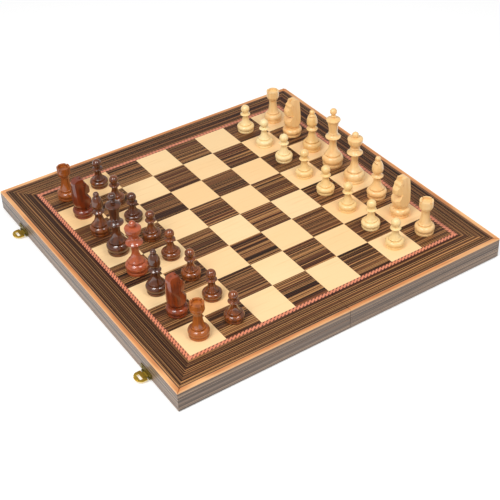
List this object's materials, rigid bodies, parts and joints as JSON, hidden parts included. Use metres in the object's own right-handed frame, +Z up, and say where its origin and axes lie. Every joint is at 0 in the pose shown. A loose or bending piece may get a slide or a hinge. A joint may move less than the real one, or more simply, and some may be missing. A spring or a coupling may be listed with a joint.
{
  "type": "folding chess set",
  "caption": "Folding wooden chess box opened flat, with inlaid board, brass hinges and swing clasps, and a full set of turned chessmen standing in their opening places.",
  "frame": {"origin": "middle of the fold line, in the plane of the box rims that face down", "axes": "+X towards the light side, +Y towards the back, +Z up out of the playing face"},
  "size_m": [0.4272, 0.41, 0.1018],
  "materials": {
    "plywood": "plain plywood",
    "wall_wood": "striped grey-brown veneer, satin",
    "edging_wood": "orange-brown mahogany, satin",
    "dark_veneer": "dark striped veneer, satin",
    "light_veneer": "plain pale maple, satin",
    "stringing": "red wood with slanted dark dashes, satin",
    "felt": "thin felt",
    "brass": "bright stamped brass",
    "dark_man": "brown lacquer, glossy",
    "red_brown_man": "red-brown lacquer, glossy",
    "light_man": "pale boxwood, satin lacquer"
  },
  "bodies": {
    "left_half": {"top_panel_left": "plywood", "end_wall_left": "wall_wood", "side_walls_left": "wall_wood", "seam_wall_left": "wall_wood", "edging_left": "edging_wood", "border_veneer_left": "dark_veneer", "stringing_left": "stringing", "light_squares_left": "light_veneer", "dark_squares_left": "dark_veneer", "lining_left": "felt", "hinge_leaves_left": "brass", "clasp_plates": "brass", "screws_left": "brass"},
    "right_half": {"top_panel_right": "plywood", "end_wall_right": "wall_wood", "side_walls_right": "wall_wood", "seam_wall_right": "wall_wood", "edging_right": "edging_wood", "border_veneer_right": "dark_veneer", "stringing_right": "stringing", "light_squares_right": "light_veneer", "dark_squares_right": "dark_veneer", "lining_right": "felt", "hinge_leaves_right": "brass", "catch_plates": "brass", "screws_right": "brass"},
    "hasp_front": {"hasp_front": "brass"},
    "hasp_back": {"hasp_back": "brass"},
    "dark_rook_front": {"dark_rook_front": "dark_man"},
    "dark_knight_front": {"dark_knight_front": "dark_man"},
    "dark_bishop_front": {"dark_bishop_front": "dark_man"},
    "dark_queen": {"dark_queen": "red_brown_man"},
    "dark_king": {"dark_king": "dark_man"},
    "dark_bishop_back": {"dark_bishop_back": "dark_man"},
    "dark_knight_back": {"dark_knight_back": "dark_man"},
    "dark_rook_back": {"dark_rook_back": "dark_man"},
    "dark_pawn_1": {"dark_pawn_1": "dark_man"},
    "dark_pawn_2": {"dark_pawn_2": "dark_man"},
    "dark_pawn_3": {"dark_pawn_3": "dark_man"},
    "dark_pawn_4": {"dark_pawn_4": "dark_man"},
    "dark_pawn_5": {"dark_pawn_5": "dark_man"},
    "dark_pawn_6": {"dark_pawn_6": "dark_man"},
    "dark_pawn_7": {"dark_pawn_7": "dark_man"},
    "dark_pawn_8": {"dark_pawn_8": "dark_man"},
    "light_rook_front": {"light_rook_front": "light_man"},
    "light_knight_front": {"light_knight_front": "light_man"},
    "light_bishop_front": {"light_bishop_front": "light_man"},
    "light_queen": {"light_queen": "light_man"},
    "light_king": {"light_king": "light_man"},
    "light_bishop_back": {"light_bishop_back": "light_man"},
    "light_knight_back": {"light_knight_back": "light_man"},
    "light_rook_back": {"light_rook_back": "light_man"},
    "light_pawn_1": {"light_pawn_1": "light_man"},
    "light_pawn_2": {"light_pawn_2": "light_man"},
    "light_pawn_3": {"light_pawn_3": "light_man"},
    "light_pawn_4": {"light_pawn_4": "light_man"},
    "light_pawn_5": {"light_pawn_5": "light_man"},
    "light_pawn_6": {"light_pawn_6": "light_man"},
    "light_pawn_7": {"light_pawn_7": "light_man"},
    "light_pawn_8": {"light_pawn_8": "light_man"}
  },
  "joints": [
    {"name": "fold", "type": "hinge", "parent": "left_half", "child": "right_half", "pos_m": [0, 0, 0], "axis": [0, 1, 0], "range_deg": [0, 180]},
    {"name": "hasp_front_swing", "type": "hinge", "parent": "left_half", "child": "hasp_front", "pos_m": [-0.2062, -0.144, 0.0013], "axis": [0, -1, 0], "range_deg": [-65, 90]},
    {"name": "hasp_back_swing", "type": "hinge", "parent": "left_half", "child": "hasp_back", "pos_m": [-0.2062, 0.144, 0.0013], "axis": [0, -1, 0], "range_deg": [-65, 90]},
    {"name": "dark_rook_front_lift", "type": "slide", "parent": "left_half", "child": "dark_rook_front", "axis": [0, 0, 1], "range_m": [0, 0.1]},
    {"name": "dark_knight_front_lift", "type": "slide", "parent": "left_half", "child": "dark_knight_front", "axis": [0, 0, 1], "range_m": [0, 0.1]},
    {"name": "dark_bishop_front_lift", "type": "slide", "parent": "left_half", "child": "dark_bishop_front", "axis": [0, 0, 1], "range_m": [0, 0.1]},
    {"name": "dark_queen_lift", "type": "slide", "parent": "left_half", "child": "dark_queen", "axis": [0, 0, 1], "range_m": [0, 0.1]},
    {"name": "dark_king_lift", "type": "slide", "parent": "left_half", "child": "dark_king", "axis": [0, 0, 1], "range_m": [0, 0.1]},
    {"name": "dark_bishop_back_lift", "type": "slide", "parent": "left_half", "child": "dark_bishop_back", "axis": [0, 0, 1], "range_m": [0, 0.1]},
    {"name": "dark_knight_back_lift", "type": "slide", "parent": "left_half", "child": "dark_knight_back", "axis": [0, 0, 1], "range_m": [0, 0.1]},
    {"name": "dark_rook_back_lift", "type": "slide", "parent": "left_half", "child": "dark_rook_back", "axis": [0, 0, 1], "range_m": [0, 0.1]},
    {"name": "dark_pawn_1_lift", "type": "slide", "parent": "left_half", "child": "dark_pawn_1", "axis": [0, 0, 1], "range_m": [0, 0.1]},
    {"name": "dark_pawn_2_lift", "type": "slide", "parent": "left_half", "child": "dark_pawn_2", "axis": [0, 0, 1], "range_m": [0, 0.1]},
    {"name": "dark_pawn_3_lift", "type": "slide", "parent": "left_half", "child": "dark_pawn_3", "axis": [0, 0, 1], "range_m": [0, 0.1]},
    {"name": "dark_pawn_4_lift", "type": "slide", "parent": "left_half", "child": "dark_pawn_4", "axis": [0, 0, 1], "range_m": [0, 0.1]},
    {"name": "dark_pawn_5_lift", "type": "slide", "parent": "left_half", "child": "dark_pawn_5", "axis": [0, 0, 1], "range_m": [0, 0.1]},
    {"name": "dark_pawn_6_lift", "type": "slide", "parent": "left_half", "child": "dark_pawn_6", "axis": [0, 0, 1], "range_m": [0, 0.1]},
    {"name": "dark_pawn_7_lift", "type": "slide", "parent": "left_half", "child": "dark_pawn_7", "axis": [0, 0, 1], "range_m": [0, 0.1]},
    {"name": "dark_pawn_8_lift", "type": "slide", "parent": "left_half", "child": "dark_pawn_8", "axis": [0, 0, 1], "range_m": [0, 0.1]},
    {"name": "light_rook_front_lift", "type": "slide", "parent": "right_half", "child": "light_rook_front", "axis": [0, 0, 1], "range_m": [0, 0.1]},
    {"name": "light_knight_front_lift", "type": "slide", "parent": "right_half", "child": "light_knight_front", "axis": [0, 0, 1], "range_m": [0, 0.1]},
    {"name": "light_bishop_front_lift", "type": "slide", "parent": "right_half", "child": "light_bishop_front", "axis": [0, 0, 1], "range_m": [0, 0.1]},
    {"name": "light_queen_lift", "type": "slide", "parent": "right_half", "child": "light_queen", "axis": [0, 0, 1], "range_m": [0, 0.1]},
    {"name": "light_king_lift", "type": "slide", "parent": "right_half", "child": "light_king", "axis": [0, 0, 1], "range_m": [0, 0.1]},
    {"name": "light_bishop_back_lift", "type": "slide", "parent": "right_half", "child": "light_bishop_back", "axis": [0, 0, 1], "range_m": [0, 0.1]},
    {"name": "light_knight_back_lift", "type": "slide", "parent": "right_half", "child": "light_knight_back", "axis": [0, 0, 1], "range_m": [0, 0.1]},
    {"name": "light_rook_back_lift", "type": "slide", "parent": "right_half", "child": "light_rook_back", "axis": [0, 0, 1], "range_m": [0, 0.1]},
    {"name": "light_pawn_1_lift", "type": "slide", "parent": "right_half", "child": "light_pawn_1", "axis": [0, 0, 1], "range_m": [0, 0.1]},
    {"name": "light_pawn_2_lift", "type": "slide", "parent": "right_half", "child": "light_pawn_2", "axis": [0, 0, 1], "range_m": [0, 0.1]},
    {"name": "light_pawn_3_lift", "type": "slide", "parent": "right_half", "child": "light_pawn_3", "axis": [0, 0, 1], "range_m": [0, 0.1]},
    {"name": "light_pawn_4_lift", "type": "slide", "parent": "right_half", "child": "light_pawn_4", "axis": [0, 0, 1], "range_m": [0, 0.1]},
    {"name": "light_pawn_5_lift", "type": "slide", "parent": "right_half", "child": "light_pawn_5", "axis": [0, 0, 1], "range_m": [0, 0.1]},
    {"name": "light_pawn_6_lift", "type": "slide", "parent": "right_half", "child": "light_pawn_6", "axis": [0, 0, 1], "range_m": [0, 0.1]},
    {"name": "light_pawn_7_lift", "type": "slide", "parent": "right_half", "child": "light_pawn_7", "axis": [0, 0, 1], "range_m": [0, 0.1]},
    {"name": "light_pawn_8_lift", "type": "slide", "parent": "right_half", "child": "light_pawn_8", "axis": [0, 0, 1], "range_m": [0, 0.1]}
  ]
}
